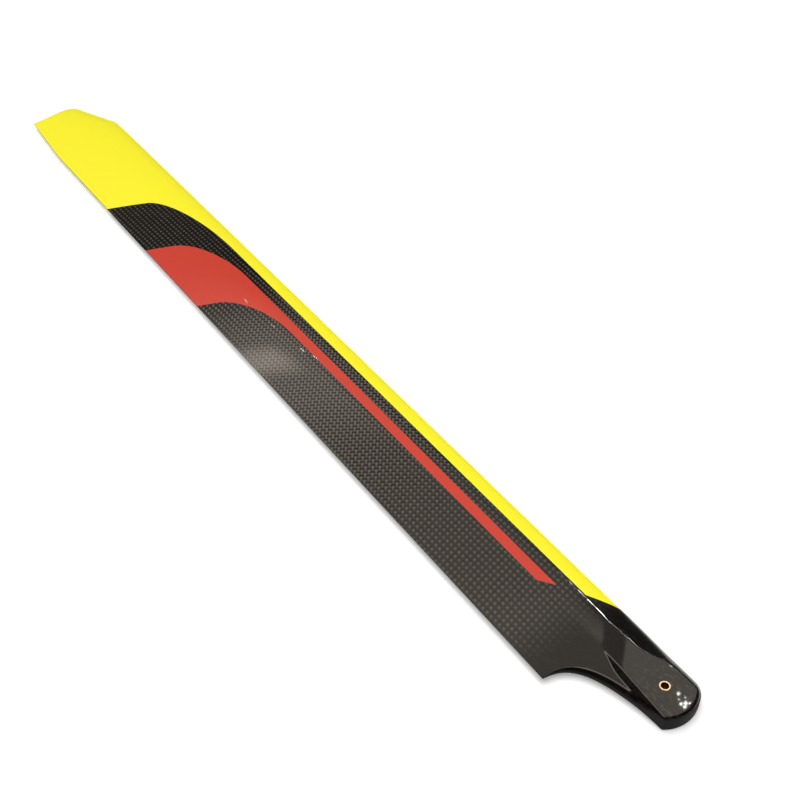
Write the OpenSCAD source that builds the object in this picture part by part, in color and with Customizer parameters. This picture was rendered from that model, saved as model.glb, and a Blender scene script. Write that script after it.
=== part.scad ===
// Main rotor blade of a model helicopter, lying flat: +X runs along the span to the tip, +Y points from the
// leading to the trailing edge, +Z is up. The origin is the centre of the bolt hole, on the mid-plane.

/* [Blade] */
// Distance from the bolt hole's centre to the tip
blade_length = 600; // [450:5:750]
// Width from the leading to the trailing edge
chord = 51.8; // [46:0.2:60]
// Distance from the bolt hole's centre forward to the leading edge
hole_setback = 14.5; // [13:0.1:15]
// Greatest thickness of the aerofoil
foil_thickness = 6.2; // [5:0.1:7]
// Thickness of the blunt trailing edge
edge_thickness = 0.6; // [0.4:0.1:1]

/* [Root] */
// Thickness of the flat root between its clamp faces
root_thickness = 8.4; // [7.8:0.1:10]
// Distance from the bolt hole's centre to the root's end
root_end = 15.4; // [13.5:0.1:17]
// Radius of the root's rounded end, seen from above
end_radius = 17.2; // [16:0.2:20]
// How far the leading edge tucks in at the root
root_tuck = 0.6; // [0:0.1:1]
// Distance from the bolt hole's centre to the root's rear side, at its end
rear_side = 11.2; // [10:0.1:12]
// Distance from the bolt hole's centre to the corner where the trailing edge begins
trailing_start = 33.5; // [30:0.1:38]
// How far from the hole the clamp faces stay flat before they ramp down to the aerofoil
flat_reach = 17; // [14:0.2:19]
// Length of the ramp from the clamp face down into the aerofoil
ramp_length = 17; // [12:0.5:22]
// Slope of the shoulder behind the clamp face, rise over run
shoulder_slope = 0.46; // [0.4:0.02:0.6]
// Rounding of the edge round the root's end, at its rear corner
end_rounding = 1.3; // [0.8:0.1:1.8]
// Depth of the full nose that this rounding grows into, at its front corner
nose_depth = 3.6; // [3:0.1:4]
// Depth of the rounded edge along the root's rear side, seen from above
side_rounding = 2.7; // [2:0.1:3.2]

/* [Tip] */
// Length of the slanted stretch of leading edge, along the span
rake_length = 36; // [28:1:46]
// Angle of the slanted leading edge to the span
rake_angle = 23.8; // [19:0.2:26]
// Radius of the rounded tip
tip_radius = 5.5; // [4:0.5:7]
// Angle by which the end edge leans back towards the root
tip_lean = 8.6; // [4:0.2:12]
// Length of the tapered stretch of trailing edge, along the span
taper_length = 54.7; // [45:0.5:65]
// How far the trailing edge tapers in at the tip
taper_depth = 3.2; // [1:0.2:6]
// Length over which the tip thins down to its edge
tip_rounding = 3.2; // [2:0.2:4]

/* [Bush] */
// Diameter of the bolt hole through the bush
bolt_hole = 3.2; // [2.5:0.1:3.6]
// Outer diameter of the bush
bush_diameter = 4.8; // [4.4:0.1:6]
// Chamfer at both mouths of the bolt hole
bush_chamfer = 0.2; // [0.1:0.05:0.3]
// Gap between the bush and the blade that the bonding resin fills
bond_gap = 0.05; // [0.02:0.01:0.1]

/* [Hidden] */
$fn = 64;

leading_y = -hole_setback;
trailing_y = leading_y + chord;
root_half = root_thickness / 2;

// Span over which the leading edge tucks in
tuck_length = 40;

// Centre of the rounded end, and handles of the curve that its rear side follows out to the trailing edge
end_centre_y = 1;
side_reach = 12.6;
side_flare = 4.9;
edge_flare = 7.1;

// The crease in front of the clamp face moves back over a short run, as shares of the chord
crease_at_end = 0.082;
crease_at_foil = 0.21;
crease_turn = 3.8;
crease_run = 20;

// The shoulder's edge behind the clamp face starts inside the rear side and moves forward to a share of the chord
shoulder_inset = 0.5;
shoulder_at_foil = 0.43;
shoulder_run = 46;
shoulder_least = 0.4;
shoulder_most = 0.75;

// The ramp falls away diagonally, towards the tip and the trailing edge, and ends under the aerofoil
ramp_turn = 43;
ramp_floor = foil_thickness * 0.34;
blend_height = 0.5;

// The root runs into the plain aerofoil over this length behind the trailing edge's corner
join_length = 24;

// Half the thickness of the tip's edge, and the share of the chord over which it rises from the nose
tip_edge_half = 0.25;
tip_edge_rise = 0.08;
tip_run = 2 * tip_rounding;

// A sharp edge keeps this rounding, and no rounding takes more than a share of the height
least_rounding = 0.02;
most_rounding = 0.8;

// How many steps the loft takes along and across the blade
nose_steps = 11;
crown_steps = 6;
shoulder_steps = 3;
tail_steps = 8;
side_steps = 20;
join_steps = 8;
rake_steps = 8;
apex_steps = 10;
nose_crowding = 1.8;
tail_gap = 2;
rounding_steps = 4;
end_shares = [0, 0.02, 0.08, 0.18, 0.36, 0.65, 1];

function clamped(v) = min(1, max(0, v));
function eased(v) = let (k = clamped(v)) k * k * (3 - 2 * k);
function mixed(a, b, k) = a + (b - a) * k;

// The larger of two heights, with a soft valley of the given height between them
function soft_max(a, b, soft) =
    let (near = max(soft - abs(a - b), 0) / soft) max(a, b) + near * near * soft / 4;

// The four-digit aerofoil's half thickness at a share q of the chord, for a greatest thickness of 1
function four_digit(q) =
    5 * (0.2969 * sqrt(q) - 0.126 * q - 0.3516 * q * q + 0.2843 * pow(q, 3) - 0.1015 * pow(q, 4));

// Half the thickness of the symmetrical aerofoil, a distance d behind the leading edge of a chord c
function foil(d, c) =
    let (
        q = clamped(d / c),
        t = foil_thickness * c / chord,
        blunt = edge_thickness / 2 - t * four_digit(1)
    )
    t * four_digit(q) + blunt * q;

// The leading edge, and the plain aerofoil behind it, at a place along the span
function front_y(x) = leading_y + root_tuck * (1 - eased(x / tuck_length));
function plain_foil(x, y) = foil(y - front_y(x), trailing_y - front_y(x));

// The rounded end of the root, as a place along the span for each place across it
function end_arc(y) =
    end_radius - root_end - sqrt(max(0, pow(end_radius, 2) - pow(y - end_centre_y, 2)));

// The rear side of the root sweeps from the end's corner out to the trailing edge in one curve
side_start = [end_arc(rear_side), rear_side];
side_handle = [side_reach, rear_side + side_flare];
edge_handle = [trailing_start, rear_side + edge_flare];
side_finish = [trailing_start, trailing_y];
function side_curve(k) =
    pow(1 - k, 3) * side_start + 3 * k * pow(1 - k, 2) * side_handle
    + 3 * k * k * (1 - k) * edge_handle + pow(k, 3) * side_finish;

// Feature lines of the root: the crease in front of the clamp face, and the shoulder's edge behind it
function crease_y(x) =
    leading_y + chord * mixed(crease_at_end, crease_at_foil, eased((x - crease_turn) / crease_run));
function shoulder_y(x) =
    mixed(rear_side - shoulder_inset, leading_y + chord * shoulder_at_foil,
          clamped((x - side_start[0]) / shoulder_run));

// Heights of the root above the mid-plane
function ramp(x, y) =
    let (way = x * cos(ramp_turn) + y * sin(ramp_turn))
    mixed(root_half, ramp_floor, eased((way - flat_reach) / ramp_length));
function crown(x, y) = soft_max(ramp(x, y), plain_foil(x, y), blend_height);
function nose(x, y) =
    let (crease = crease_y(x)) plain_foil(x, y) * crown(x, crease) / plain_foil(x, crease);
function shoulder(x, y) = crown(x, shoulder_y(x)) - shoulder_slope * (y - shoulder_y(x));
function root_height(x, y) =
    y < crease_y(x) ? nose(x, y)
    : y < shoulder_y(x) ? crown(x, y)
    : max(shoulder(x, y), plain_foil(x, y));

// How much a rounded edge has fallen away at a distance d inside it, for the rounding's depth and height
function rounded_off(d, depth, height) =
    let (k = clamped(1 - d / depth)) height * (1 - sqrt(1 - k * k));

// The rounding of the root's end grows from its rear to its front corner, as a share of the full nose
function nose_share(y) = clamped((rear_side - y) / (rear_side - leading_y));
function end_fall(x, y, z) =
    let (share = pow(nose_share(y), 2))
    rounded_off(x - end_arc(y), mixed(end_rounding, nose_depth, share),
                mixed(end_rounding, root_half, share) * z / root_half);

// Where the shoulder meets the aerofoil, kept clear of the rear side
function shoulder_foot(x, side_y) =
    let (
        edge = shoulder_y(x),
        first = edge + (crown(x, edge) - plain_foil(x, edge)) / shoulder_slope,
        foot = edge + (crown(x, edge) - plain_foil(x, first)) / shoulder_slope
    )
    min(max(foot, edge + shoulder_least), mixed(edge, side_y, shoulder_most));

// Places across a section from the leading edge to its rear side, through the feature lines
function places_across(front, crease, edge, foot, rounding, rear) = [
    for (i = [0 : nose_steps]) mixed(front, crease, pow(i / nose_steps, nose_crowding)),
    for (i = [1 : crown_steps]) mixed(crease, edge, i / crown_steps),
    for (i = [1 : shoulder_steps]) mixed(edge, foot, i / shoulder_steps),
    for (i = [1 : tail_steps]) mixed(foot, rear - rounding, i / tail_steps),
    for (i = [1 : rounding_steps]) rear - rounding * pow(1 - i / rounding_steps, 2)
];

// A section across the root, at a step k of the rear side's curve, as points on its upper side:
// the first sections bow with the rounded end, and the side's rounding fades out at both ends of its curve
bow_steps = 0.22;
function side_fade(k) = 1 - pow(2 * k - 1, 4);
function root_section(k) =
    let (
        side = side_curve(k),
        bow = 1 - clamped(k / bow_steps),
        rounding = side_rounding * side_fade(k) + least_rounding,
        crease = crease_y(side[0]),
        edge = min(shoulder_y(side[0]), side[1] - rounding - 2 * least_rounding),
        foot = shoulder_foot(side[0], side[1] - rounding),
        places = places_across(front_y(side[0]), crease, edge, foot, rounding, side[1])
    )
    [for (y = places)
        let (
            x = side[0] + bow * (end_arc(y) - end_arc(side[1])),
            z = root_height(x, y),
            side_fall = rounded_off(side[1] - y, rounding, z * most_rounding * side_fade(k)),
            fall = max(side_fall, end_fall(x, y, z))
        )
        [x, y, z - fall]];

// A section across the blade, from one point of the leading edge to one of the trailing edge
function foil_section(front, rear, thinning) =
    let (
        c = rear[1] - front[1],
        share = c / chord,
        crease = crease_at_foil * c,
        edge = shoulder_at_foil * c,
        places = places_across(0, crease, edge, edge + tail_gap * share, least_rounding, c)
    )
    [for (d = places)
        let (k = d / c)
        [mixed(front[0], rear[0], k), front[1] + d,
         mixed(tip_edge_half * sqrt(clamped(k / tip_edge_rise)), foil(d, c), thinning)]];

// The tip: a slanted leading edge, a round apex and an end edge that leans back
rake_start = [blade_length - rake_length, leading_y];
apex_centre = [
    blade_length - tip_radius,
    leading_y + tan(rake_angle) * (rake_length - tip_radius) + tip_radius / cos(rake_angle)
];
function apex(angle) = apex_centre + tip_radius * [cos(angle), sin(angle)];
apex_first = rake_angle - 90;
tip_corner_y = trailing_y - taper_depth;
tip_corner = [
    apex(tip_lean)[0] - (tip_corner_y - apex(tip_lean)[1]) * tan(tip_lean),
    tip_corner_y
];
taper_start = blade_length - taper_length;
function taper(x) = [x, trailing_y - taper_depth * (x - taper_start) / (tip_corner[0] - taper_start)];
apex_start_x = tip_corner[0] - tip_run;

// Every section's upper side, from the root's end to the tip
side_first = nose_depth / (3 * (side_handle - side_start)[0]);
sections = [
    for (share = end_shares) root_section(side_first * share),
    for (i = [1 : side_steps]) root_section(mixed(side_first, 1, sin(90 * i / side_steps))),
    for (i = [1 : join_steps])
        let (x = trailing_start + join_length * i / join_steps)
        [for (y = places_across(front_y(x), crease_y(x), shoulder_y(x),
                                shoulder_foot(x, trailing_y), least_rounding, trailing_y))
            [x, y, root_height(x, y)]],
    foil_section([taper_start, leading_y], [taper_start, trailing_y], 1),
    for (i = [0 : rake_steps])
        let (
            front = mixed(rake_start, apex(apex_first), i / rake_steps),
            rear = taper(mixed(rake_start[0], apex_start_x, i / rake_steps))
        )
        foil_section(front, rear, 1),
    for (i = [1 : apex_steps])
        let (
            k = sin(90 * i / apex_steps),
            rear = taper(mixed(apex_start_x, tip_corner[0], k)),
            left = tip_run * (1 - k),
            thinning = sqrt(1 - pow(1 - clamped(left / tip_rounding), 2))
        )
        foil_section(apex(mixed(apex_first, tip_lean, k)), rear, thinning)
];

// A closed solid through the sections, mirrored below the mid-plane
module loft(sections) {
    across = len(sections[0]);
    ring = 2 * across - 1;
    last = len(sections) - 1;
    function mirrored(p) = [p[0], p[1], -p[2]];
    points = [
        for (s = sections) each concat(s, [for (i = [across - 1 : -1 : 1]) mirrored(s[i])])
    ];
    // Both ends are closed by strips between the upper and the lower point at each place across
    function below(i) = (ring - i) % ring;
    function cap(row) = [
        for (i = [0 : across - 2]) each [
            if (i > 0) [row + i, row + i + 1, row + below(i)],
            [row + i + 1, row + below(i + 1), row + below(i)]
        ]
    ];
    function turned(face) = [face[2], face[1], face[0]];
    sides = [
        for (j = [0 : last - 1], i = [0 : ring - 1])
            let (a = j * ring + i, b = j * ring + (i + 1) % ring)
            each [[a, b, a + ring], [b, b + ring, a + ring]]
    ];
    polyhedron(
        points,
        concat([for (f = cap(0)) turned(f)], sides, cap(last * ring)),
        convexity = 6
    );
}

// The moulded blade, with the hole for its bush
module blade() {
    color("#2b2927")
    difference() {
        loft(sections);
        cylinder(d = bush_diameter + 2 * bond_gap, h = 2 * root_thickness, center = true);
    }
}

// The turned bush that lines the bolt hole, flush with both clamp faces
module root_bush() {
    inside = bolt_hole / 2;
    outside = bush_diameter / 2;
    color("#d8b25a")
    rotate_extrude()
        polygon([
            [inside, bush_chamfer - root_half],
            [inside + bush_chamfer, -root_half],
            [outside, -root_half],
            [outside, root_half],
            [inside + bush_chamfer, root_half],
            [inside, root_half - bush_chamfer]
        ]);
}

blade();
root_bush();
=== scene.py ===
"""Looks of a model helicopter's main rotor blade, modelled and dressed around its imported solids.

Sizes and places are in millimetres, in the frame of the solids: +X along the span to the tip, +Y from the
leading to the trailing edge, +Z up, with the origin at the centre of the bolt hole. MM turns them into
metres. Only the lamps' places, aims and sizes and the floor's size are written in metres.
"""

import logging
import math
from dataclasses import dataclass, field
from enum import Enum
from typing import Any, Union

import bpy
import numpy as np
from mathutils import Matrix, Vector


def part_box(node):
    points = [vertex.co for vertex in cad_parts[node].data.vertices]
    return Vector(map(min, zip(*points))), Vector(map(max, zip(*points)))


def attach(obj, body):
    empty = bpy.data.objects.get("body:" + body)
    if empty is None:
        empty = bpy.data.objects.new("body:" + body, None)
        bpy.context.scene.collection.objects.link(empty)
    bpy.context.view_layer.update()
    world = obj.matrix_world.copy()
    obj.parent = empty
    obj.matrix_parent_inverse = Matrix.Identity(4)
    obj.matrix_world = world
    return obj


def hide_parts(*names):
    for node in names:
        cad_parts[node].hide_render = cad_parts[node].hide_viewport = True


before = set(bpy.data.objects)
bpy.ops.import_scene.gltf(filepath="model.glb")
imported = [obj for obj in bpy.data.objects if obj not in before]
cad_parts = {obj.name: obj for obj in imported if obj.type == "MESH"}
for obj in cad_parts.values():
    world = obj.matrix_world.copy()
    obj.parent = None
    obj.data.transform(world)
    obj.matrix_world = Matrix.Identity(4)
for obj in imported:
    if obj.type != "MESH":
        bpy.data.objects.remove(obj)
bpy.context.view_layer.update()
MM = 0.001
BODY = "root"
CUT_EDGE = "cut_edge"

Colour = tuple[float, float, float, float]
Places = np.ndarray

logging.basicConfig(level=logging.INFO, format="%(message)s")
log = logging.getLogger("rotor_blade")


class Blend(Enum):
    """How a mask laid over another is joined to it."""

    BOTH = "MULTIPLY"
    EITHER = "MAXIMUM"


class Signal:
    """A node's output that takes part in arithmetic: each operation adds a Math node to its graph."""

    def __init__(self, graph: "Graph", socket: bpy.types.NodeSocket) -> None:
        """Holds the socket and the graph that new nodes go to."""
        self.graph = graph
        self.socket = socket

    def math(self, operation: str, *terms: "Term", first: bool = True) -> "Signal":
        """Adds a Math node.

        Args:
            operation: the Math node's operation.
            terms: the other operands.
            first: whether this signal is the first operand, or the last.

        Returns:
            The node's result.
        """
        operands = (self, *terms) if first else (*terms, self)
        inputs = dict(enumerate(operands))
        return self.graph.node("ShaderNodeMath", {"operation": operation}, inputs)[0]

    def __add__(self, other: "Term") -> "Signal":
        """self + other"""
        return self.math("ADD", other)

    __radd__ = __add__

    def __sub__(self, other: "Term") -> "Signal":
        """self - other"""
        return self.math("SUBTRACT", other)

    def __rsub__(self, other: "Term") -> "Signal":
        """other - self"""
        return self.math("SUBTRACT", other, first=False)

    def __mul__(self, other: "Term") -> "Signal":
        """self * other"""
        return self.math("MULTIPLY", other)

    __rmul__ = __mul__

    def __truediv__(self, other: "Term") -> "Signal":
        """self / other"""
        return self.math("DIVIDE", other)

    def __pow__(self, other: "Term") -> "Signal":
        """self to the power of other"""
        return self.math("POWER", other)

    def __gt__(self, other: "Term") -> "Signal":
        """1 where self is greater than other, and 0 elsewhere"""
        return self.math("GREATER_THAN", other)

    def __lt__(self, other: "Term") -> "Signal":
        """1 where self is less than other, and 0 elsewhere"""
        return self.math("LESS_THAN", other)

    def __abs__(self) -> "Signal":
        """The signal without its sign."""
        return self.math("ABSOLUTE")

    def __and__(self, other: "Signal") -> "Signal":
        """1 where both masks are"""
        return self.math(Blend.BOTH.value, other)

    def __or__(self, other: "Signal") -> "Signal":
        """1 where either mask is"""
        return self.math(Blend.EITHER.value, other)

    def above_zero(self) -> "Signal":
        """The signal with its negative values cut off."""
        return self.math("MAXIMUM", 0.0)

    def ramp(self, start: float, end: float) -> "Signal":
        """A smooth rise from 0 to 1 between two values of the signal.

        Args:
            start: value at which the result is 0.
            end: value at which the result is 1.

        Returns:
            The eased result.
        """
        settings = {"interpolation_type": "SMOOTHSTEP"}
        return self.graph.node("ShaderNodeMapRange", settings, {0: self, 1: start, 2: end})[0]


Term = Union[Signal, float]


class Graph:
    """A material's or a world's node tree, emptied and ready for new nodes."""

    def __init__(self, owner: Union[bpy.types.Material, bpy.types.World]) -> None:
        """Empties the owner's node tree.

        Args:
            owner: the material or the world.
        """
        owner.use_nodes = True
        self.tree = owner.node_tree
        self.tree.nodes.clear()

    def node(self, kind: str, settings: dict[str, Any], inputs: dict[Any, Any]) -> list[Signal]:
        """Adds any node.

        Args:
            kind: the node's type.
            settings: the node's own properties, which are set first.
            inputs: values, or signals to link, by socket name or number.

        Returns:
            The node's outputs, as signals.
        """
        made = self.tree.nodes.new(kind)
        for name, value in settings.items():
            setattr(made, name, value)
        for key, value in inputs.items():
            if isinstance(value, Signal):
                self.tree.links.new(value.socket, made.inputs[key])
            else:
                made.inputs[key].default_value = value
        return [Signal(self, socket) for socket in made.outputs]

    def place(self) -> tuple[Signal, Signal, Signal]:
        """The place on the surface, in millimetres.

        Returns:
            Three signals, along X, Y and Z.
        """
        point = self.node("ShaderNodeTexCoord", {}, {})[3]
        scaled = self.node("ShaderNodeVectorMath", {"operation": "SCALE"}, {0: point, "Scale": 1 / MM})[0]
        x, y, z = self.node("ShaderNodeSeparateXYZ", {}, {0: scaled})
        return x, y, z

    def vector(self, x: Term, y: Term, z: Term) -> Signal:
        """Three signals or numbers joined into a vector."""
        return self.node("ShaderNodeCombineXYZ", {}, {0: x, 1: y, 2: z})[0]

    def noise(self, at: Signal, scale: float, detail: float = 2.0) -> Signal:
        """Soft noise from 0 to 1.

        Args:
            at: the vector it is read at.
            scale: waves per unit of that vector.
            detail: how many finer layers it has.

        Returns:
            The noise's value.
        """
        return self.node("ShaderNodeTexNoise", {}, {"Vector": at, "Scale": scale, "Detail": detail})[0]

    def mix(self, share: Signal, first: Union[Signal, Colour], second: Union[Signal, Colour]) -> Signal:
        """A colour between two colours.

        Args:
            share: 0 for the first colour, 1 for the second.
            first: a colour, or the signal of one.
            second: a colour, or the signal of one.

        Returns:
            The mixed colour.
        """
        return self.node("ShaderNodeMix", {"data_type": "RGBA"}, {0: share, 6: first, 7: second})[2]

    def rays(self) -> dict[str, Signal]:
        """What kind of ray looks at the surface, by the name of the kind."""
        kinds = self.node("ShaderNodeLightPath", {}, {})
        return {kind.socket.name: kind for kind in kinds}

    def surface(self, shader: Signal) -> None:
        """Links a shader to the output."""
        owner = "World" if self.tree.id_data.id_type == "WORLD" else "Material"
        self.node(f"ShaderNodeOutput{owner}", {}, {"Surface": shader})


@dataclass(frozen=True)
class Blotches:
    """Soft blotches: their waves per millimetre, and the values of the noise between which they fade in."""

    waves: float
    fade_from: float
    fade_until: float
    detail: float = 2.0

    def mask(self, graph: Graph, at: Signal) -> Signal:
        """A mask that is 1 inside the blotches."""
        return graph.noise(at, self.waves, self.detail).ramp(self.fade_from, self.fade_until)


@dataclass(frozen=True)
class PaintEdge:
    """An edge of paint that runs along the span and turns out to the trailing edge in a round corner."""

    level: float
    end: float
    run: float
    rise: float
    lean: float = 0.5

    def behind(self, x: Signal, y: Signal, trailing_y: float) -> Signal:
        """Which places lie behind the edge, towards the trailing edge and the root.

        Args:
            x: place along the span.
            y: place across the chord.
            trailing_y: where the trailing edge is, and the edge's end is measured.

        Returns:
            A mask that is 1 behind the edge.
        """
        along = x - (y - trailing_y) * self.lean
        over = (along - (self.end - self.run)).above_zero() / self.run
        under = (self.level + self.rise - y).above_zero() / self.rise
        return over * over + under * under < 1.0


@dataclass(frozen=True)
class PaintStart:
    """The slanted inboard end of a painted stripe: a place on it, and how far it leans along the span."""

    x: float
    y: float
    slant: float

    def beyond(self, x: Signal, y: Signal) -> Signal:
        """A mask that is 1 outboard of the slanted end."""
        return x - (y - self.y) * self.slant > self.x


@dataclass(frozen=True)
class Livery:
    """The painted fields: a yellow nose and tip, and a red stripe that sweeps out to the trailing edge."""

    yellow: Colour = (1.0, 0.92, 0.034, 1.0)
    red: Colour = (0.60, 0.055, 0.034, 1.0)
    yellow_edge: PaintEdge = PaintEdge(level=-5.3, end=467.0, run=66.0, rise=20.6)
    yellow_start: PaintStart = PaintStart(x=56.0, y=-5.4, slant=1.62)
    red_front: PaintEdge = PaintEdge(level=1.8, end=412.0, run=44.0, rise=20.2)
    red_rear: PaintEdge = PaintEdge(level=7.3, end=345.0, run=38.0, rise=19.8)
    red_start: PaintStart = PaintStart(x=67.7, y=1.9, slant=1.37)

    def masks(self, x: Signal, y: Signal, trailing_y: float) -> tuple[Signal, Signal]:
        """Where the two paints lie.

        Args:
            x: place along the span.
            y: place across the chord.
            trailing_y: where the trailing edge is.

        Returns:
            The masks of the yellow and of the red paint.
        """
        yellow = (1 - self.yellow_edge.behind(x, y, trailing_y)) & self.yellow_start.beyond(x, y)
        stripe = self.red_front.behind(x, y, trailing_y) & (1 - self.red_rear.behind(x, y, trailing_y))
        return yellow, stripe & self.red_start.beyond(x, y)


@dataclass(frozen=True)
class WeaveToneAndSheen:
    """How light a stretch of the cloth is drawn: its ground, its crossings and the crowns of its two sets of
    tows.
    The shares hold painted sheen: the cloth's colour is lighter where the coat and the tows would mirror the
    room's glow, and darker outboard.

    The turn is how far round a warp tow its painted highlight has moved off the crown. The slant favours one
    diagonal.
    """

    ground: float
    crossing: float
    warp_crown: float
    weft_crown: float
    warp_highlight_turn: float
    slant: float


@dataclass(frozen=True)
class CarbonCloth:
    """Plain-woven carbon cloth: the repeat of its light crossings along and across the blade, its colours,
    the painted sheen and painted highlights that make it lighter or darker along the span, and the bare and
    scuffed carbon of the root.
    """

    along: tuple[float, float] = (2.87, 0.09)
    across: tuple[float, float] = (0.73, -2.74)
    light: Colour = (0.125, 0.109, 0.094, 1.0)
    dark: Colour = (0.0015, 0.0014, 0.0013, 1.0)
    bare: Colour = (0.0015, 0.0014, 0.0013, 1.0)
    bare_patch: Colour = (0.006, 0.005, 0.004, 1.0)
    mottle: Blotches = Blotches(waves=0.35, fade_from=0.4, fade_until=0.8)
    scuff: Colour = (0.034, 0.027, 0.020, 1.0)
    scuffs: Blotches = Blotches(waves=0.45, fade_from=0.48, fade_until=0.72, detail=5.0)
    scuffs_fade_from: float = 2.0
    scuffs_fade_until: float = 20.0
    scuffs_above: float = 3.9
    sawn: Colour = (0.0012, 0.0012, 0.0012, 1.0)
    shows_from: float = 38.0
    shows_fully: float = 66.0
    # Painted sheen: these stretches make the cloth's colour lighter or darker along the span in place of
    # reflections.
    inboard: WeaveToneAndSheen = WeaveToneAndSheen(
        ground=0.34, crossing=0.28, warp_crown=0.07, weft_crown=0.075, warp_highlight_turn=math.radians(20), slant=0.50)
    midway: WeaveToneAndSheen = WeaveToneAndSheen(
        ground=0.43, crossing=0.50, warp_crown=0.36, weft_crown=0.38, warp_highlight_turn=math.radians(185), slant=0.54)
    outboard: WeaveToneAndSheen = WeaveToneAndSheen(
        ground=-0.12, crossing=1.0, warp_crown=0.0, weft_crown=0.0, warp_highlight_turn=math.radians(185), slant=0.58)
    midway_from: float = 100.0
    midway_until: float = 260.0
    outboard_from: float = 280.0
    outboard_until: float = 385.0
    drift: float = 0.5
    drift_waves: float = 0.05
    fibres: float = 9.0
    fibre_run: float = 0.6
    patch_waves: float = 0.3
    steady_share: float = 0.5
    patch_share: float = 0.4
    chance_share: float = 0.3
    fibre_share: float = 0.3

    def tows(self, graph: Graph, x: Signal, y: Signal) -> tuple[Signal, Signal]:
        """The place counted in tows of the two directions.

        Args:
            graph: the material's graph.
            x: place along the span.
            y: place across the chord.

        Returns:
            How many tows lie between the origin and the place, for each direction.
        """
        sway = (graph.noise(graph.vector(x, y, 0.0), self.drift_waves) - 0.5) * self.drift
        first = [(a + b) / 2 for a, b in zip(self.along, self.across)]
        second = [(a - b) / 2 for a, b in zip(self.along, self.across)]
        turn = first[0] * second[1] - first[1] * second[0]
        warp = x * (second[1] / turn) - y * (second[0] / turn) + sway
        weft = y * (first[0] / turn) - x * (first[1] / turn) + sway
        return warp, weft

    def tone_and_painted_sheen(self, graph: Graph, x: Signal, warp: Signal, weft: Signal) -> tuple[Signal, Signal]:
        """How light the cloth is drawn, with painted sheen along the span, and how it stands up in relief.

        Args:
            graph: the material's graph.
            x: place along the span.
            warp: place counted in tows of the first direction.
            weft: place counted in tows of the second direction.

        Returns:
            The lightness, from 0 to about 1, and the relief, which is 1 on the crowns of the crossings.
        """
        to_midway = x.ramp(self.midway_from, self.midway_until)
        to_outboard = x.ramp(self.outboard_from, self.outboard_until)

        def share(name: str) -> Signal:
            """One of the weave's shares, blended along the span."""
            near, middle, far = (getattr(part, name) for part in (self.inboard, self.midway, self.outboard))
            return mixed(mixed(near, middle, to_midway), far, to_outboard)

        along = ((warp + weft) * math.pi).math("COSINE")
        across = ((warp - weft) * math.pi).math("COSINE")
        crossing = mixed(along, across, share("slant"))
        # Painted highlight: the light on the warp tows is moved off their crowns by a turn that changes along
        # the span.
        warp_crown = (warp * (2 * math.pi) - share("warp_highlight_turn")).math("COSINE")
        weft_crown = (weft * (2 * math.pi)).math("COSINE")
        fibres = graph.noise(graph.vector(warp * self.fibre_run, weft * self.fibres, 0.0), 1.0)
        patches = graph.noise(graph.vector(warp, weft, 0.0), self.patch_waves)
        chance = self.chance(graph, warp, weft)
        uneven = patches * self.patch_share + chance * self.chance_share + fibres * self.fibre_share
        crowns = warp_crown * share("warp_crown") + weft_crown * share("weft_crown")
        waves = (crossing * share("crossing") + crowns) * (uneven + self.steady_share)
        return (share("ground") + waves).above_zero(), abs(crossing)

    def chance(self, graph: Graph, warp: Signal, weft: Signal) -> Signal:
        """A chance value from 0 to 1 for the crown of each crossing."""
        crown = graph.vector(warp.math("ROUND"), weft.math("ROUND"), 0.0)
        return graph.node("ShaderNodeTexWhiteNoise", {"noise_dimensions": "2D"}, {"Vector": crown})[0]


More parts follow.
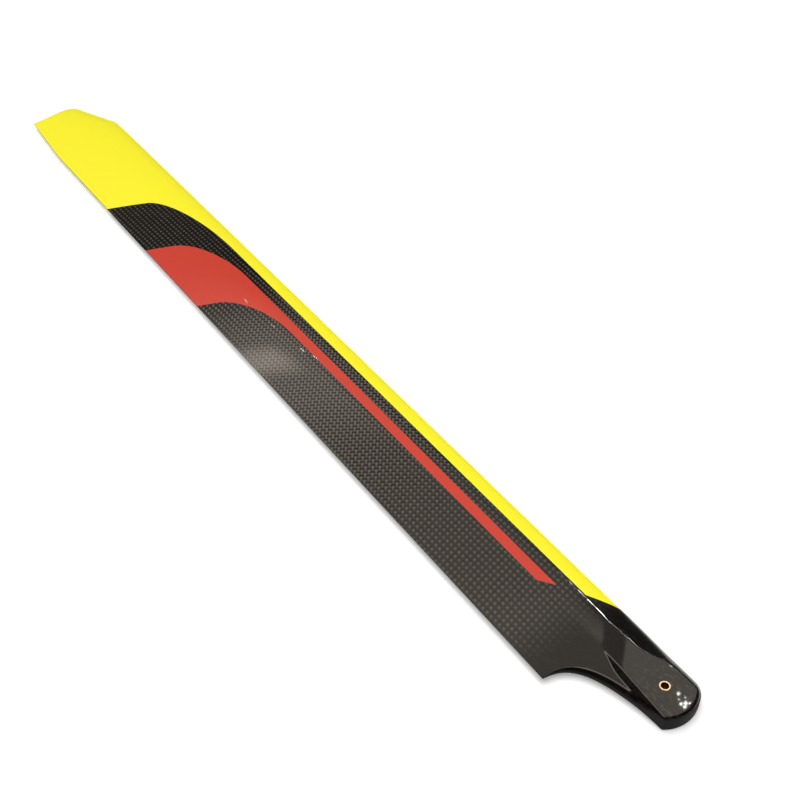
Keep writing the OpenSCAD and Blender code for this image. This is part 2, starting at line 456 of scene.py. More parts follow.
@dataclass(frozen=True)
class BladeFinish:
    """Carbon cloth and paint under one gloss clear coat."""

    cloth: CarbonCloth = CarbonCloth()
    livery: Livery = Livery()
    coat_roughness: float = 0.02
    coat_ior: float = 1.5
    coat_lost_on_cloth: float = 0.25
    cloth_roughness: float = 0.42
    paint_roughness: float = 0.32
    skin_specular: float = 0.15
    weave_depth: float = 0.06
    weave_strength: float = 0.6
    ripple_waves: float = 0.55
    ripple_share: float = 0.8
    grain_waves: float = 1.2
    grain_layers: float = 3.0
    sawn_roughness: float = 0.5
    grain_roughness: float = 0.7
    sawn_specular: float = 0.12

    def material(self, trailing_y: float) -> bpy.types.Material:
        """Makes the finish.

        Args:
            trailing_y: where the trailing edge is, in millimetres.

        Returns:
            The material.
        """
        made = bpy.data.materials.new("painted_carbon")
        graph = Graph(made)
        x, y, z = graph.place()
        at = graph.vector(x, y, z)
        warp, weft = self.cloth.tows(graph, x, y)
        tone_and_painted_sheen, crowns = self.cloth.tone_and_painted_sheen(graph, x, warp, weft)
        shows = x.ramp(self.cloth.shows_from, self.cloth.shows_fully)
        # The woven colour carries the painted sheen and the painted highlights.
        woven = graph.mix(tone_and_painted_sheen, self.cloth.dark, self.cloth.light)
        bare = graph.mix(self.cloth.mottle.mask(graph, at), self.cloth.bare, self.cloth.bare_patch)
        clamped = abs(z) > self.cloth.scuffs_above
        worn = (1 - x.ramp(self.cloth.scuffs_fade_from, self.cloth.scuffs_fade_until)) & clamped
        scuffs = self.cloth.scuffs.mask(graph, at) & worn
        carbon = graph.mix(shows, graph.mix(scuffs, bare, self.cloth.scuff), woven)

        yellow, red = self.livery.masks(x, y, trailing_y)
        with_red = graph.mix(red, carbon, self.livery.red)
        colour = graph.mix(yellow, with_red, self.livery.yellow)

        cut = graph.node("ShaderNodeAttribute", {"attribute_name": CUT_EDGE}, {})[2]
        painted = yellow | red
        ripple = graph.noise(at, self.ripple_waves)
        relief = (crowns * shows + ripple * (1 - shows) * self.ripple_share) * (1 - painted)
        bump = graph.node("ShaderNodeBump", {}, {
            "Strength": self.weave_strength, "Distance": self.weave_depth * MM, "Height": relief})
        shader = graph.node("ShaderNodeBsdfPrincipled", {}, {
            "Base Color": colour,
            "Roughness": mixed(self.cloth_roughness, self.paint_roughness, painted),
            "Specular IOR Level": self.skin_specular,
            "Coat Weight": 1.0 - (1 - painted) * shows * self.coat_lost_on_cloth,
            "Coat Roughness": self.coat_roughness,
            "Coat IOR": self.coat_ior,
            "Normal": bump[0],
        })[0]
        grain = graph.noise(graph.vector(x, y, z * self.grain_layers), self.grain_waves)
        sawn = graph.node("ShaderNodeBsdfPrincipled", {}, {
            "Base Color": graph.mix(grain, self.cloth.sawn, self.cloth.bare_patch),
            "Roughness": mixed(self.sawn_roughness, self.grain_roughness, grain),
            "Specular IOR Level": self.sawn_specular,
        })[0]
        graph.surface(graph.node("ShaderNodeMixShader", {}, {0: cut, 1: shader, 2: sawn})[0])
        return made


@dataclass(frozen=True)
class BrassFinish:
    """Turned brass with fine tool rings, and painted shade on the wall of its bore."""

    bright: Colour = (1.0, 0.82, 0.56, 1.0)
    dull: Colour = (0.90, 0.68, 0.40, 1.0)
    # Painted shade: the dark brown that the bore's wall is coloured, where it lies in shade.
    painted_bore_shade: Colour = (0.26, 0.11, 0.04, 1.0)
    bore_radius: float = 1.6
    bore_shade: float = 0.12
    rings_per_mm: float = 9.0
    ring_depth: float = 0.01
    ring_strength: float = 0.1
    stain_waves: float = 0.9
    stain_from: float = 0.35
    stain_until: float = 0.75
    polish: float = 0.08
    stain_roughness: float = 0.1
    bore_roughness: float = 0.4

    def material(self) -> bpy.types.Material:
        """Makes the finish.

        Returns:
            The material.
        """
        made = bpy.data.materials.new("turned_brass")
        graph = Graph(made)
        x, y, z = graph.place()
        radius = (x * x + y * y) ** 0.5
        # Painted shade: inside the bore the brass is coloured dark brown, and it is made rougher.
        inside = 1 - radius.ramp(self.bore_radius, self.bore_radius + self.bore_shade)
        rings = ((radius + z) * (self.rings_per_mm * 2 * math.pi)).math("SINE")
        stain = graph.noise(graph.vector(x, y, z), self.stain_waves)
        face = graph.mix(stain.ramp(self.stain_from, self.stain_until), self.bright, self.dull)
        colour = graph.mix(inside, face, self.painted_bore_shade)
        bump = graph.node("ShaderNodeBump", {}, {
            "Strength": self.ring_strength, "Distance": self.ring_depth * MM, "Height": rings})
        shader = graph.node("ShaderNodeBsdfPrincipled", {}, {
            "Base Color": colour,
            "Metallic": 1.0,
            "Roughness": self.polish + stain * self.stain_roughness + inside * self.bore_roughness,
            "Normal": bump[0],
        })
        graph.surface(shader[0])
        return made


def eased(share: Places) -> Places:
    """A smooth step from 0 to 1.

    Args:
        share: places from 0 to 1; others are clipped.

    Returns:
        The eased shares.
    """
    kept = np.clip(share, 0, 1)
    return kept * kept * (3 - 2 * kept)


def mixed(first: Any, second: Any, share: Any) -> Any:
    """A value between two others, at a share of the way."""
    return first + (second - first) * share


def crowded(count: int) -> Places:
    """Shares from 0 to 1 that crowd towards both ends."""
    return 0.5 - 0.5 * np.cos(np.pi * np.arange(count + 1) / count)


def rounded_off(inside: Places, depth: Places, height: Places) -> Places:
    """How much a rounded edge has fallen away.

    Args:
        inside: distance inside the edge.
        depth: how far the rounding reaches in.
        height: how far it falls at the edge.

    Returns:
        The fall.
    """
    share = np.clip(1 - inside / depth, 0, 1)
    return height * (1 - np.sqrt(1 - share * share))


@dataclass(frozen=True)
class BladeForm:
    """The blade's sizes, and the heights of its upper side above the mid-plane."""

    root_end: float
    tip_x: float
    leading_y: float
    trailing_y: float
    root_half: float
    foil_thickness: float = 6.2
    edge_thickness: float = 0.6
    end_radius: float = 17.2
    end_centre_y: float = 1.0
    root_tuck: float = 0.6
    tuck_length: float = 40.0
    rear_side: float = 11.2
    trailing_start: float = 33.5
    side_reach: float = 12.6
    side_flare: float = 4.9
    edge_flare: float = 7.1
    flat_reach: float = 17.0
    ramp_length: float = 17.0
    ramp_turn: float = math.radians(43)
    ramp_floor_share: float = 0.34
    blend_height: float = 0.5
    shoulder_slope: float = 0.46
    shoulder_inset: float = 0.5
    shoulder_at_foil: float = 0.43
    shoulder_run: float = 46.0
    shoulder_least: float = 0.4
    shoulder_most: float = 0.75
    crease_at_end: float = 0.082
    crease_at_foil: float = 0.21
    crease_turn: float = 3.8
    crease_run: float = 20.0
    end_rounding: float = 1.3
    nose_depth: float = 3.6
    side_rounding: float = 2.7
    least_rounding: float = 0.02
    most_rounding: float = 0.8
    join_length: float = 24.0
    rake_length: float = 36.0
    rake_angle: float = math.radians(23.8)
    tip_radius: float = 5.5
    tip_lean: float = math.radians(8.6)
    taper_length: float = 54.7
    taper_depth: float = 3.2
    tip_rounding: float = 3.2
    tip_edge_half: float = 0.25
    tip_edge_rise: float = 0.08
    softening_steps: int = 9

    @property
    def chord(self) -> float:
        """Width from the leading to the trailing edge."""
        return self.trailing_y - self.leading_y

    def foil(self, back: Places, chord: Places) -> Places:
        """Half the thickness of the symmetrical aerofoil.

        Args:
            back: distance behind the leading edge.
            chord: width of the section.

        Returns:
            The heights above the mid-plane.
        """
        def four_digit(q: Places) -> Places:
            """Half thickness at a share of the chord, for a greatest thickness of 1."""
            return 5 * (0.2969 * np.sqrt(q) - 0.126 * q - 0.3516 * q**2 + 0.2843 * q**3 - 0.1015 * q**4)

        share = np.clip(back / chord, 0, 1)
        thickness = self.foil_thickness * chord / self.chord
        blunt = self.edge_thickness / 2 - thickness * four_digit(1.0)
        return thickness * four_digit(share) + blunt * share

    def front_y(self, x: Places) -> Places:
        """The leading edge, which tucks in at the root."""
        return self.leading_y + self.root_tuck * (1 - eased(x / self.tuck_length))

    def plain_foil(self, x: Places, y: Places) -> Places:
        """Height of the plain aerofoil."""
        front = self.front_y(x)
        return self.foil(y - front, self.trailing_y - front)

    def end_arc(self, y: Places) -> Places:
        """The rounded end of the root, as a place along the span."""
        reach = np.maximum(0, self.end_radius**2 - (y - self.end_centre_y) ** 2)
        return self.end_radius - self.root_end - np.sqrt(reach)

    def side_points(self) -> tuple[Places, Places, Places, Places]:
        """The curve that the root's rear side follows out to the trailing edge.

        Returns:
            Its start, its two handles and its end.
        """
        start = np.array([self.end_arc(self.rear_side), self.rear_side])
        handle = np.array([self.side_reach, self.rear_side + self.side_flare])
        edge_handle = np.array([self.trailing_start, self.rear_side + self.edge_flare])
        return start, handle, edge_handle, np.array([self.trailing_start, self.trailing_y])

    def side_curve(self, k: float) -> Places:
        """A place on the root's rear side.

        Args:
            k: share of the side's curve.

        Returns:
            The place along the span and across the chord.
        """
        start, handle, edge_handle, finish = self.side_points()
        near = (1 - k) ** 3 * start + 3 * k * (1 - k) ** 2 * handle
        return near + 3 * k * k * (1 - k) * edge_handle + k**3 * finish

    def side_fullness(self, k: float) -> float:
        """How full the rear side's rounding is at a share of the side's curve: nothing at its ends."""
        return 1 - (2 * k - 1) ** 4

    def crease_y(self, x: Places) -> Places:
        """The crease in front of the clamp face.

        Args:
            x: places along the span.

        Returns:
            Its places across the chord.
        """
        turned = eased((x - self.crease_turn) / self.crease_run)
        share = mixed(self.crease_at_end, self.crease_at_foil, turned)
        return self.leading_y + self.chord * share

    def shoulder_y(self, x: Places) -> Places:
        """The shoulder's edge behind the clamp face.

        Args:
            x: places along the span.

        Returns:
            Its places across the chord.
        """
        start_x = self.side_points()[0][0]
        share = np.clip((x - start_x) / self.shoulder_run, 0, 1)
        at_foil = self.leading_y + self.chord * self.shoulder_at_foil
        return mixed(self.rear_side - self.shoulder_inset, at_foil, share)

    def crown(self, x: Places, y: Places) -> Places:
        """Height of the clamp face and of the ramp that leads down from it into the aerofoil.

        Args:
            x: places along the span.
            y: places across the chord.

        Returns:
            The heights above the mid-plane.
        """
        way = x * math.cos(self.ramp_turn) + y * math.sin(self.ramp_turn)
        floor = self.foil_thickness * self.ramp_floor_share
        ramp = mixed(self.root_half, floor, eased((way - self.flat_reach) / self.ramp_length))
        plain = self.plain_foil(x, y)
        near = np.maximum(self.blend_height - np.abs(ramp - plain), 0) / self.blend_height
        return np.maximum(ramp, plain) + near * near * self.blend_height / 4

    def height(self, x: Places, y: Places) -> Places:
        """Height of the root's upper side, before its outer edges are rounded.

        Args:
            x: places along the span.
            y: places across the chord.

        Returns:
            The heights above the mid-plane.
        """
        crease = self.crease_y(x)
        edge = self.shoulder_y(x)
        plain = self.plain_foil(x, y)
        nose = plain * self.crown(x, crease) / self.plain_foil(x, crease)
        shoulder = np.maximum(self.crown(x, edge) - self.shoulder_slope * (y - edge), plain)
        return np.where(y < crease, nose, np.where(y < edge, self.crown(x, y), shoulder))

    def softened(self, x: Places, y: Places, width: float) -> Places:
        """The root's height with its creases rounded over a small width.

        Args:
            x: places along the span.
            y: places across the chord.
            width: how far the rounding reaches to each side.

        Returns:
            The heights above the mid-plane.
        """
        front = self.front_y(x)
        room = np.minimum(width, np.maximum(y - front, 0) / 2)
        steps = np.linspace(-1, 1, self.softening_steps)
        return np.mean([self.height(x, y + room * step) for step in steps], axis=0)

    def shoulder_foot(self, x: float, side_y: float) -> float:
        """Where the shoulder meets the aerofoil, kept clear of the rear side.

        Args:
            x: place along the span.
            side_y: the rear side's place across the chord.

        Returns:
            The foot's place across the chord.
        """
        edge = self.shoulder_y(x)
        top = self.crown(x, edge)
        first = edge + (top - self.plain_foil(x, edge)) / self.shoulder_slope
        foot = edge + (top - self.plain_foil(x, first)) / self.shoulder_slope
        return min(max(foot, edge + self.shoulder_least), mixed(edge, side_y, self.shoulder_most))

    def end_fall(self, x: Places, y: Places, z: Places) -> Places:
        """How much the root's end has fallen away: a small rounding at the rear corner, a full nose in front.

        Args:
            x: places along the span.
            y: places across the chord.
            z: heights before the rounding.

        Returns:
            The fall.
        """
        share = np.clip((self.rear_side - y) / (self.rear_side - self.leading_y), 0, 1) ** 2
        depth = mixed(self.end_rounding, self.nose_depth, share)
        height = mixed(self.end_rounding, self.root_half, share) * z / self.root_half
        return rounded_off(x - self.end_arc(y), depth, height)


@dataclass
class BladeSkin:
    """The moulded blade's smooth outer skin, lofted through sections across the span."""

    form: BladeForm
    finish: BladeFinish
    bush_diameter: float
    bond_gap: float = 0.05
    nose_steps: int = 26
    crown_steps: int = 36
    shoulder_steps: int = 12
    tail_steps: int = 28
    rounding_steps: int = 14
    end_rows: int = 18
    side_rows: int = 84
    join_rows: int = 28
    foil_rows: int = 40
    rake_rows: int = 24
    apex_rows: int = 26
    bow_share: float = 0.22
    crease_width: float = 0.45
    tail_gap: float = 2.0
    hole_sides: int = 96
    smooth_angle: float = math.radians(32)
    upright_limit: float = 0.5
    outward_limit: float = 0.3
    seam_gap: float = 0.0005
    double_gap: float = 0.002
    parts: list[bpy.types.Object] = field(default_factory=list)

    def places_across(self, front: float, crease: float, edge: float, foot: float,
                      rounding: float, rear: float) -> Places:
        """Places across a section, from the leading edge through the feature lines to its rear side.

        Args:
            front: the leading edge.
            crease: the crease in front of the clamp face.
            edge: the shoulder's edge.
            foot: the shoulder's foot.
            rounding: how far the rear side's rounding reaches in.
            rear: the rear side.

        Returns:
            The places, with the last one twice, for the top and the middle of the rear wall.
        """
        turn = np.cos(np.linspace(0, math.pi / 2, self.rounding_steps + 1)[1:])
        return np.concatenate([
            mixed(front, crease, crowded(self.nose_steps)),
            mixed(crease, edge, crowded(self.crown_steps))[1:],
            mixed(edge, foot, crowded(self.shoulder_steps))[1:],
            mixed(foot, rear - rounding, crowded(self.tail_steps))[1:],
            rear - rounding * turn**2,
            [rear],
        ])

    def root_section(self, k: float) -> Places:
        """A section of the root, at a share of its rear side's curve.

        Args:
            k: share of the rear side's curve.

        Returns:
            The points on its upper side.
        """
        form = self.form
        side = form.side_curve(k)
        bow = 1 - min(1.0, k / self.bow_share)
        full = form.side_fullness(k)
        rounding = form.side_rounding * full + form.least_rounding
        edge = min(form.shoulder_y(side[0]), side[1] - rounding - 2 * form.least_rounding)
        foot = form.shoulder_foot(side[0], side[1] - rounding)
        y = self.places_across(form.front_y(side[0]), form.crease_y(side[0]), edge, foot, rounding, side[1])
        x = side[0] + bow * (form.end_arc(y) - form.end_arc(side[1]))
        z = form.softened(x, y, self.crease_width)
        side_fall = rounded_off(side[1] - y, rounding, z * form.most_rounding * full)
        fall = np.maximum(side_fall, form.end_fall(x, y, z))
        return np.stack([x, y, z - fall], axis=1)

    def join_section(self, x: float) -> Places:
        """A section between the root and the plain aerofoil.

        Args:
            x: its place along the span.

        Returns:
            The points on its upper side.
        """
        form = self.form
        foot = form.shoulder_foot(x, form.trailing_y)
        y = self.places_across(form.front_y(x), form.crease_y(x), form.shoulder_y(x), foot,
                               form.least_rounding, form.trailing_y)
        along = np.full_like(y, x)
        return np.stack([along, y, form.softened(along, y, self.crease_width)], axis=1)

    def foil_section(self, front: Places, rear: Places, thinning: float) -> Places:
        """A section from one point of the leading edge to one of the trailing edge.

        Args:
            front: the point of the leading edge.
            rear: the point of the trailing edge.
            thinning: 1 for the full thickness, 0 for the tip's thin edge.

        Returns:
            The points on its upper side.
        """
        form = self.form
        chord = rear[1] - front[1]
        edge = form.shoulder_at_foil * chord
        foot = edge + self.tail_gap * chord / form.chord
        back = self.places_across(0.0, form.crease_at_foil * chord, edge, foot, form.least_rounding, chord)
        share = back / chord
        thin = form.tip_edge_half * np.sqrt(np.clip(share / form.tip_edge_rise, 0, 1))
        z = mixed(thin, form.foil(back, chord), thinning)
        return np.stack([mixed(front[0], rear[0], share), front[1] + back, z], axis=1)

    def tip_sections(self) -> list[Places]:
        """The sections of the plain aerofoil, the raked tip and its rounded apex.

        Returns:
            The points on the upper side of each section, going outboard.
        """
        form = self.form
        rake_start = np.array([form.tip_x - form.rake_length, form.leading_y])
        centre = np.array([
            form.tip_x - form.tip_radius,
            form.leading_y + math.tan(form.rake_angle) * (form.rake_length - form.tip_radius)
            + form.tip_radius / math.cos(form.rake_angle),
        ])

        def apex(angle: float) -> Places:
            """A point on the round apex."""
            return centre + form.tip_radius * np.array([math.cos(angle), math.sin(angle)])

        apex_first = form.rake_angle - math.pi / 2
        corner_y = form.trailing_y - form.taper_depth
        corner_x = apex(form.tip_lean)[0] - (corner_y - apex(form.tip_lean)[1]) * math.tan(form.tip_lean)
        taper_start = form.tip_x - form.taper_length
        tip_run = 2 * form.tip_rounding

        def taper(x: float) -> Places:
            """A point on the tapered stretch of the trailing edge."""
            share = (x - taper_start) / (corner_x - taper_start)
            return np.array([x, form.trailing_y - form.taper_depth * share])

        join_end = form.trailing_start + form.join_length
        made = []
        for i in range(1, self.foil_rows + 1):
            x = mixed(join_end, taper_start, i / self.foil_rows)
            front, rear = np.array([x, form.leading_y]), np.array([x, form.trailing_y])
            made.append(self.foil_section(front, rear, 1.0))
        for i in range(self.rake_rows + 1):
            share = i / self.rake_rows
            rear = taper(mixed(rake_start[0], corner_x - tip_run, share))
            made.append(self.foil_section(mixed(rake_start, apex(apex_first), share), rear, 1.0))
        for i in range(1, self.apex_rows + 1):
            share = math.sin(math.pi / 2 * i / self.apex_rows)
            left = min(1.0, tip_run * (1 - share) / form.tip_rounding)
            thinning = math.sqrt(1 - (1 - left) ** 2)
            front = apex(mixed(apex_first, form.tip_lean, share))
            rear = taper(mixed(corner_x - tip_run, corner_x, share))
            made.append(self.foil_section(front, rear, thinning))
        return made

    def sections(self) -> Places:
        """Every section's upper side from the root's end to the tip, closed at the mid-plane all round.

        Returns:
            Points by section and by place across.
        """
        form = self.form
        start, handle = form.side_points()[:2]
        first = form.nose_depth / (3 * (handle - start)[0])
        rows = [self.root_section(first * share) for share in np.linspace(0, 1, self.end_rows) ** 2]
        turns = np.sin(np.pi / 2 * np.arange(1, self.side_rows + 1) / self.side_rows)
        rows += [self.root_section(mixed(first, 1.0, turn)) for turn in turns]
        steps = np.arange(1, self.join_rows + 1) / self.join_rows
        rows += [self.join_section(form.trailing_start + form.join_length * step) for step in steps]
        rows += self.tip_sections()
        walled = np.array([np.vstack([row, row[-1] * (1, 1, 0)]) for row in rows])
        flattened = walled * (1, 1, 0)
        return np.concatenate([flattened[:1], walled, flattened[-1:]])

    def build(self) -> bpy.types.Object:
        """Lofts the upper side from a grid, mirrors it below the mid-plane and bores the bush's hole.

        Returns:
            The finished piece.
        """
        points = self.sections() * MM
        rows, columns = points.shape[:2]
        bpy.ops.object.select_all(action="DESELECT")
        bpy.ops.mesh.primitive_grid_add(x_subdivisions=columns - 1, y_subdivisions=rows - 1, size=1)
        skin = bpy.context.object
        skin.name = "blade_skin"
        skin.data.vertices.foreach_set("co", points.reshape(-1))
        skin.data.update()
        self.apply(skin, "MIRROR", {"use_axis": (False, False, True), "merge_threshold": self.seam_gap * MM})
        self.tidy(skin)

        bpy.ops.object.select_all(action="DESELECT")
        bpy.ops.mesh.primitive_cylinder_add(
            vertices=self.hole_sides,
            radius=(self.bush_diameter / 2 + self.bond_gap) * MM,
            depth=4 * self.form.root_half * MM,
        )
        drill = bpy.context.object
        self.apply(skin, "BOOLEAN", {"operation": "DIFFERENCE", "object": drill, "solver": "EXACT"})
        bpy.data.objects.remove(drill)
        self.shade(skin)
        self.mark_cut_edges(skin)
        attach(skin, BODY)
        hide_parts("blade")
        self.parts.append(skin)
        return skin

    def apply(self, piece: bpy.types.Object, kind: str, settings: dict[str, Any]) -> None:
        """Adds a modifier and applies it.

        Args:
            piece: the object.
            kind: the modifier's type.
            settings: the modifier's properties.
        """
        bpy.ops.object.select_all(action="DESELECT")
        piece.select_set(True)
        bpy.context.view_layer.objects.active = piece
        bpy.ops.object.modifier_add(type=kind)
        added = piece.modifiers[-1]
        for name, value in settings.items():
            setattr(added, name, value)
        bpy.ops.object.modifier_apply(modifier=added.name)

    def tidy(self, piece: bpy.types.Object) -> None:
        """Merges doubles, clears collapsed faces and turns every face outwards.

        Args:
            piece: the object.
        """
        bpy.context.view_layer.objects.active = piece
        bpy.ops.object.mode_set(mode="EDIT")
        bpy.ops.mesh.select_all(action="SELECT")
        bpy.ops.mesh.remove_doubles(threshold=self.double_gap * MM)
        bpy.ops.mesh.dissolve_degenerate(threshold=self.double_gap * MM)
        bpy.ops.mesh.select_all(action="SELECT")
        bpy.ops.mesh.normals_make_consistent(inside=False)
        bpy.ops.object.mode_set(mode="OBJECT")

    def shade(self, piece: bpy.types.Object) -> None:
        """Shades the piece smooth, apart from its sharp edges.

        Args:
            piece: the object.
        """
        bpy.ops.object.select_all(action="DESELECT")
        piece.select_set(True)
        bpy.context.view_layer.objects.active = piece
        bpy.ops.object.shade_smooth_by_angle(angle=self.smooth_angle)

    def mark_cut_edges(self, piece: bpy.types.Object) -> None:
        """Marks the faces that are sawn after moulding: upright ones that face the rear or the root's end.

        Args:
            piece: the skin.
        """
        normals = np.empty(3 * len(piece.data.polygons))
        piece.data.polygons.foreach_get("normal", normals)
        along, across, up = normals.reshape(-1, 3).T
        upright = np.abs(up) < self.upright_limit
        outward = np.maximum(across, -along) > self.outward_limit
        layer = piece.data.attributes.new(CUT_EDGE, "FLOAT", "FACE")
        layer.data.foreach_set("value", np.where(upright & outward, 1.0, 0.0))

    def dress(self) -> None:
        """Gives the skin its paint and cloth."""
        made = self.finish.material(self.form.trailing_y)
        for part in self.parts:
            part.data.materials.clear()
            part.data.materials.append(made)


@dataclass
class RootBush:
    """The brass bush, whose solid is already right."""

    finish: BrassFinish

    def dress(self) -> bpy.types.Object:
        """Gives the bush its finish.

        Returns:
            The bush.
        """
        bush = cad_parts["root_bush"]
        made = self.finish.material()
        bush.data.materials.clear()
        bush.data.materials.append(made)
        return bush


@dataclass(frozen=True)
class Lamp:
    """A small rectangular lamp above the floor, seen as a glint in the clear coat. Its sizes are in metres.

    It shines on all around the place that it is aimed at, or through a snoot, only close to that place.
    """

    name: str
    start: tuple[float, float]
    end: tuple[float, float]
    width: float
    radiance: float
    aim: tuple[float, float] = (0.0, 0.0)
    snoot: float = math.pi
    height: float = 1.2
    watts_per_radiance: float = 4.0

    def build(self) -> bpy.types.Object:
        """Hangs the lamp, facing the place that it is aimed at.

        Returns:
            The lamp.
        """
        middle = ((Vector(self.start) + Vector(self.end)) / 2).to_3d() + Vector((0, 0, self.height))
        back = (middle - Vector(self.aim).to_3d()).normalized()
        run = (Vector(self.end) - Vector(self.start)).to_3d()
        run -= back * run.dot(back)
        light = bpy.data.lights.new(self.name, "AREA")
        light.shape = "RECTANGLE"
        light.size = run.length
        light.size_y = self.width
        light.spread = self.snoot
        half = self.snoot / 2
        beam = 1 - half / math.tan(half)
        light.energy = self.radiance * self.watts_per_radiance * beam * light.size * light.size_y
        lamp = bpy.data.objects.new(self.name, light)
        bpy.context.scene.collection.objects.link(lamp)
        side = run.normalized()
        axes = Matrix((side, back.cross(side), back)).transposed()
        lamp.matrix_world = Matrix.Translation(middle) @ axes.to_4x4()
        return lamp


@dataclass(frozen=True)
class SoftPanel:
    """A soft-edged panel of light overhead, between slopes of the light's way along X and along Y."""

    along: tuple[float, float]
    across: tuple[float, float]
    soft: tuple[float, float]
    glow: float

    def light(self, along: Signal, across: Signal) -> Signal:
        """The panel's light.

        Args:
            along: slope of the light's way along X.
            across: slope of the light's way along Y.

        Returns:
            The panel's glow seen that way.
        """
        shares = [
            slope.ramp(start, start + soft) * (1 - slope.ramp(end - soft, end))
            for slope, (start, end), soft in zip((along, across), (self.along, self.across), self.soft)
        ]
        return shares[0] * shares[1] * self.glow


@dataclass(frozen=True)
class Room:
    """A dim warm room with soft panels of light overhead, each mirrored by one part of the blade.

    What the camera sees beyond the floor is a white backdrop, which gloss shows too, close to the horizon.
    """

    dim: float = 0.02
    white: Colour = (1.0, 1.0, 1.0, 1.0)
    backdrop_top: float = 0.12
    warmth: Colour = (1.0, 0.90, 0.77, 1.0)
    horizon: float = 0.2
    root: SoftPanel = SoftPanel((0.28, 0.64), (-0.82, -0.06), (0.14, 0.14), 0.68)
    cloth: SoftPanel = SoftPanel((0.50, 1.22), (-0.82, -0.06), (0.14, 0.14), 0.30)
    clamp_face: SoftPanel = SoftPanel((0.12, 0.60), (-0.82, -0.46), (0.09, 0.09), 0.62)
    cloth_sheen: SoftPanel = SoftPanel((0.80, 1.16), (-0.52, -0.14), (0.14, 0.10), 0.8)
    sheen_spot: SoftPanel = SoftPanel((0.950, 1.036), (-0.41, -0.14), (0.04, 0.10), 2.6)
    rims: SoftPanel = SoftPanel((0.05, 1.10), (-0.20, 0.16), (0.05, 0.05), 2.7)

    def build(self) -> None:
        """Sets the world up."""
        world = bpy.data.worlds.new("room")
        graph = Graph(world)
        direction = graph.node("ShaderNodeTexCoord", {}, {})[0]
        x, y, z = graph.node("ShaderNodeSeparateXYZ", {}, {0: direction})
        rise = z.math("MAXIMUM", self.horizon)
        along, across = x / rise, y / rise
        panels = (self.root, self.cloth, self.clamp_face, self.cloth_sheen, self.sheen_spot, self.rims)
        glow = sum((panel.light(along, across) for panel in panels), start=self.dim)
        seen = graph.rays()
        mirrored = seen["Is Glossy Ray"] | seen["Is Transmission Ray"]
        backdrop = seen["Is Camera Ray"] | mirrored & (1 - z.ramp(0.0, self.backdrop_top))
        room = graph.node("ShaderNodeBackground", {}, {"Color": self.warmth, "Strength": glow})[0]
        white = graph.node("ShaderNodeBackground", {}, {"Color": self.white, "Strength": 1.0})[0]
        graph.surface(graph.node("ShaderNodeMixShader", {}, {0: backdrop, 1: room, 2: white})[0])
        bpy.context.scene.world = world


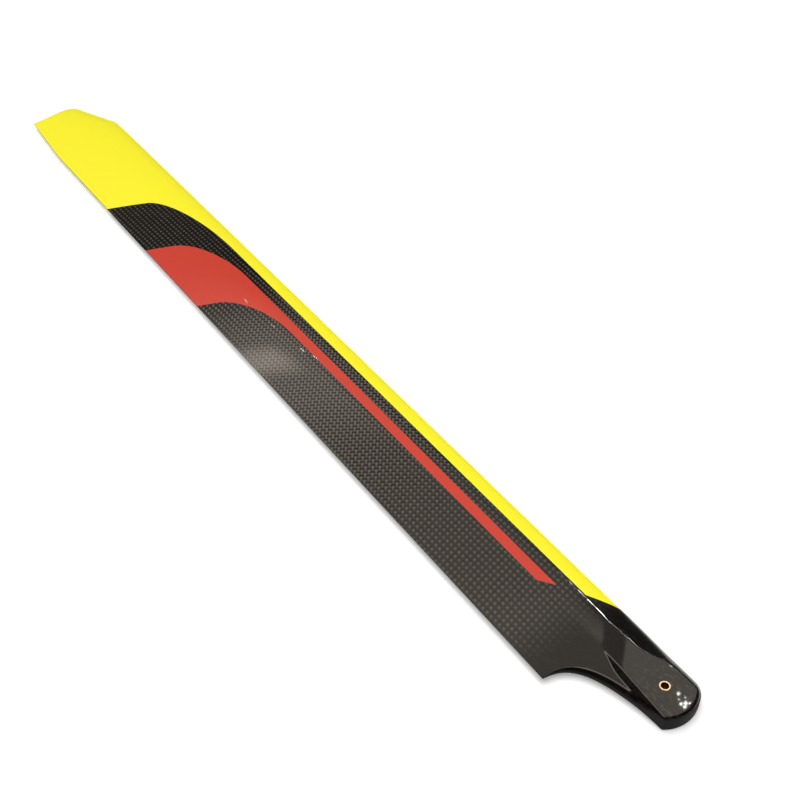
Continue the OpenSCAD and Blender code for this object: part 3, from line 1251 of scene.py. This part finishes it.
@dataclass
class Studio:
    """A white floor, a dim room with panels of light, a soft key, small lamps and the camera.

    The place of a streak or a glint is its lamp's, along X and Y, with the lamp's size as third value.
    """

    floor_z: float
    floor_size: float = 6.0
    floor_white: float = 0.82
    floor_lift: float = 0.30
    streak_places: tuple[tuple[float, float, float], ...] = (
        (1.356, -0.94, 0.010), (1.482, -0.585, 0.011), (1.501, -0.540, 0.012), (1.588, -0.500, 0.007),
        (1.686, -0.484, 0.007),
    )
    glint_places: tuple[tuple[float, float, float], ...] = (
        (0.524, -0.741, 0.004), (0.516, -0.734, 0.002), (0.513, -0.745, 0.002), (0.505, -0.738, 0.005),
        (0.508, -0.731, 0.004), (0.501, -0.732, 0.004), (0.501, -0.743, 0.003), (0.570, -0.770, 0.004),
    )
    streak_radiance: float = 30.0
    glint_radiance: float = 24.0
    tube_start: tuple[float, float] = (0.58, -1.09)
    tube_end: tuple[float, float] = (0.80, -1.10)
    tube_width: float = 0.014
    tube_radiance: float = 18.0
    snooted_rows: tuple[tuple[tuple[float, float], tuple[float, float]], ...] = (
        ((0.74, -0.985), (0.94, -0.990)), ((0.94, -0.96), (1.18, -1.04)),
    )
    row_count: int = 8
    row_width: float = 0.016
    row_radiance: float = 60.0
    crease_aim: tuple[float, float] = (0.034, -0.007)
    snoot: float = math.radians(1.8)
    key_from: tuple[float, float, float] = (0.0, 0.1, 1.0)
    key_energy: float = 2.78
    key_angle: float = math.radians(70)
    camera_place: tuple[float, float, float] = (-199.92, 268.47, 441.57)
    camera_right: tuple[float, float, float] = (-0.56348, -0.82613, -0.00091)
    camera_up: tuple[float, float, float] = (0.5467, -0.3737, 0.7493)
    camera_back: tuple[float, float, float] = (-0.61940, 0.42175, 0.66217)
    lens: float = 57.32
    sensor: float = 36.0

    def build(self) -> None:
        """Sets up the stage, the light and the camera."""
        self.lay_floor()
        Room().build()
        self.hang_key()
        for lamp in self.lamps():
            lamp.build()
        self.place_camera()
        bpy.context.scene.view_settings.view_transform = "Standard"

    def lamps(self) -> list[Lamp]:
        """The lamps that draw the crease's light line, and those that leave streaks and glints in the coat.

        Returns:
            The lamps, not yet hung.
        """
        made = [Lamp("crease_tube", self.tube_start, self.tube_end, self.tube_width, self.tube_radiance)]
        for start, end in self.snooted_rows:
            ends = [Vector(start).lerp(Vector(end), i / self.row_count) for i in range(self.row_count + 1)]
            for first, second in zip(ends, ends[1:]):
                made.append(Lamp("crease_lamp", first, second, self.row_width, self.row_radiance,
                                 self.crease_aim, self.snoot))
        for x, y, size in self.streak_places:
            start, end = (x - size / 2, y - size / 4), (x + size / 2, y + size / 4)
            made.append(Lamp("streak", start, end, size / 4, self.streak_radiance))
        for x, y, size in self.glint_places:
            made.append(Lamp("glint", (x - size / 2, y), (x + size / 2, y), size, self.glint_radiance))
        return made

    def hang_key(self) -> None:
        """Hangs the broad soft key almost straight overhead; the clear coat does not mirror it."""
        light = bpy.data.lights.new("key", "SUN")
        light.energy = self.key_energy
        light.angle = self.key_angle
        key = bpy.data.objects.new("key", light)
        bpy.context.scene.collection.objects.link(key)
        key.rotation_euler = (-Vector(self.key_from)).to_track_quat("-Z", "Y").to_euler()
        key.visible_glossy = False

    def lay_floor(self) -> None:
        """Lays the floor, white to the camera and to what mirrors it, with the object's shadow on it."""
        bpy.ops.object.select_all(action="DESELECT")
        bpy.ops.mesh.primitive_plane_add(size=self.floor_size, location=(0, 0, self.floor_z * MM))
        floor = bpy.context.object
        floor.name = "floor"
        made = bpy.data.materials.new("white_floor")
        graph = Graph(made)
        seen = graph.rays()
        shown = seen["Is Camera Ray"] | seen["Is Glossy Ray"] | seen["Is Transmission Ray"]
        white = (self.floor_white,) * 3 + (1.0,)
        plain = graph.node("ShaderNodeBsdfDiffuse", {}, {"Color": white})[0]
        lift = graph.node("ShaderNodeEmission", {}, {"Strength": self.floor_lift})[0]
        lifted = graph.node("ShaderNodeAddShader", {}, {0: plain, 1: lift})[0]
        graph.surface(graph.node("ShaderNodeMixShader", {}, {0: shown, 1: plain, 2: lifted})[0])
        floor.data.materials.append(made)

    def place_camera(self) -> None:
        """Puts the camera at the photograph's viewpoint."""
        lens = bpy.data.cameras.new("camera")
        lens.lens = self.lens
        lens.sensor_width = self.sensor
        camera = bpy.data.objects.new("camera", lens)
        bpy.context.scene.collection.objects.link(camera)
        axes = Matrix((self.camera_right, self.camera_up, self.camera_back)).transposed()
        camera.matrix_world = Matrix.Translation(Vector(self.camera_place) * MM) @ axes.to_4x4()
        bpy.context.scene.camera = camera


def main() -> None:
    """Builds and dresses the pieces in order, then the studio."""
    low, high = (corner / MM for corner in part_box("blade"))
    bush_low, bush_high = (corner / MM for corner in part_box("root_bush"))
    form = BladeForm(root_end=-low.x, tip_x=high.x, leading_y=low.y, trailing_y=high.y, root_half=high.z)
    skin = BladeSkin(form, BladeFinish(), bush_diameter=bush_high.x - bush_low.x)
    piece = skin.build()
    skin.dress()
    log.info("%s: %d faces", piece.name, len(piece.data.polygons))

    bush = RootBush(BrassFinish()).dress()
    log.info("%s: dressed", bush.name)

    Studio(floor_z=low.z).build()


if __name__ == "__main__":
    main()
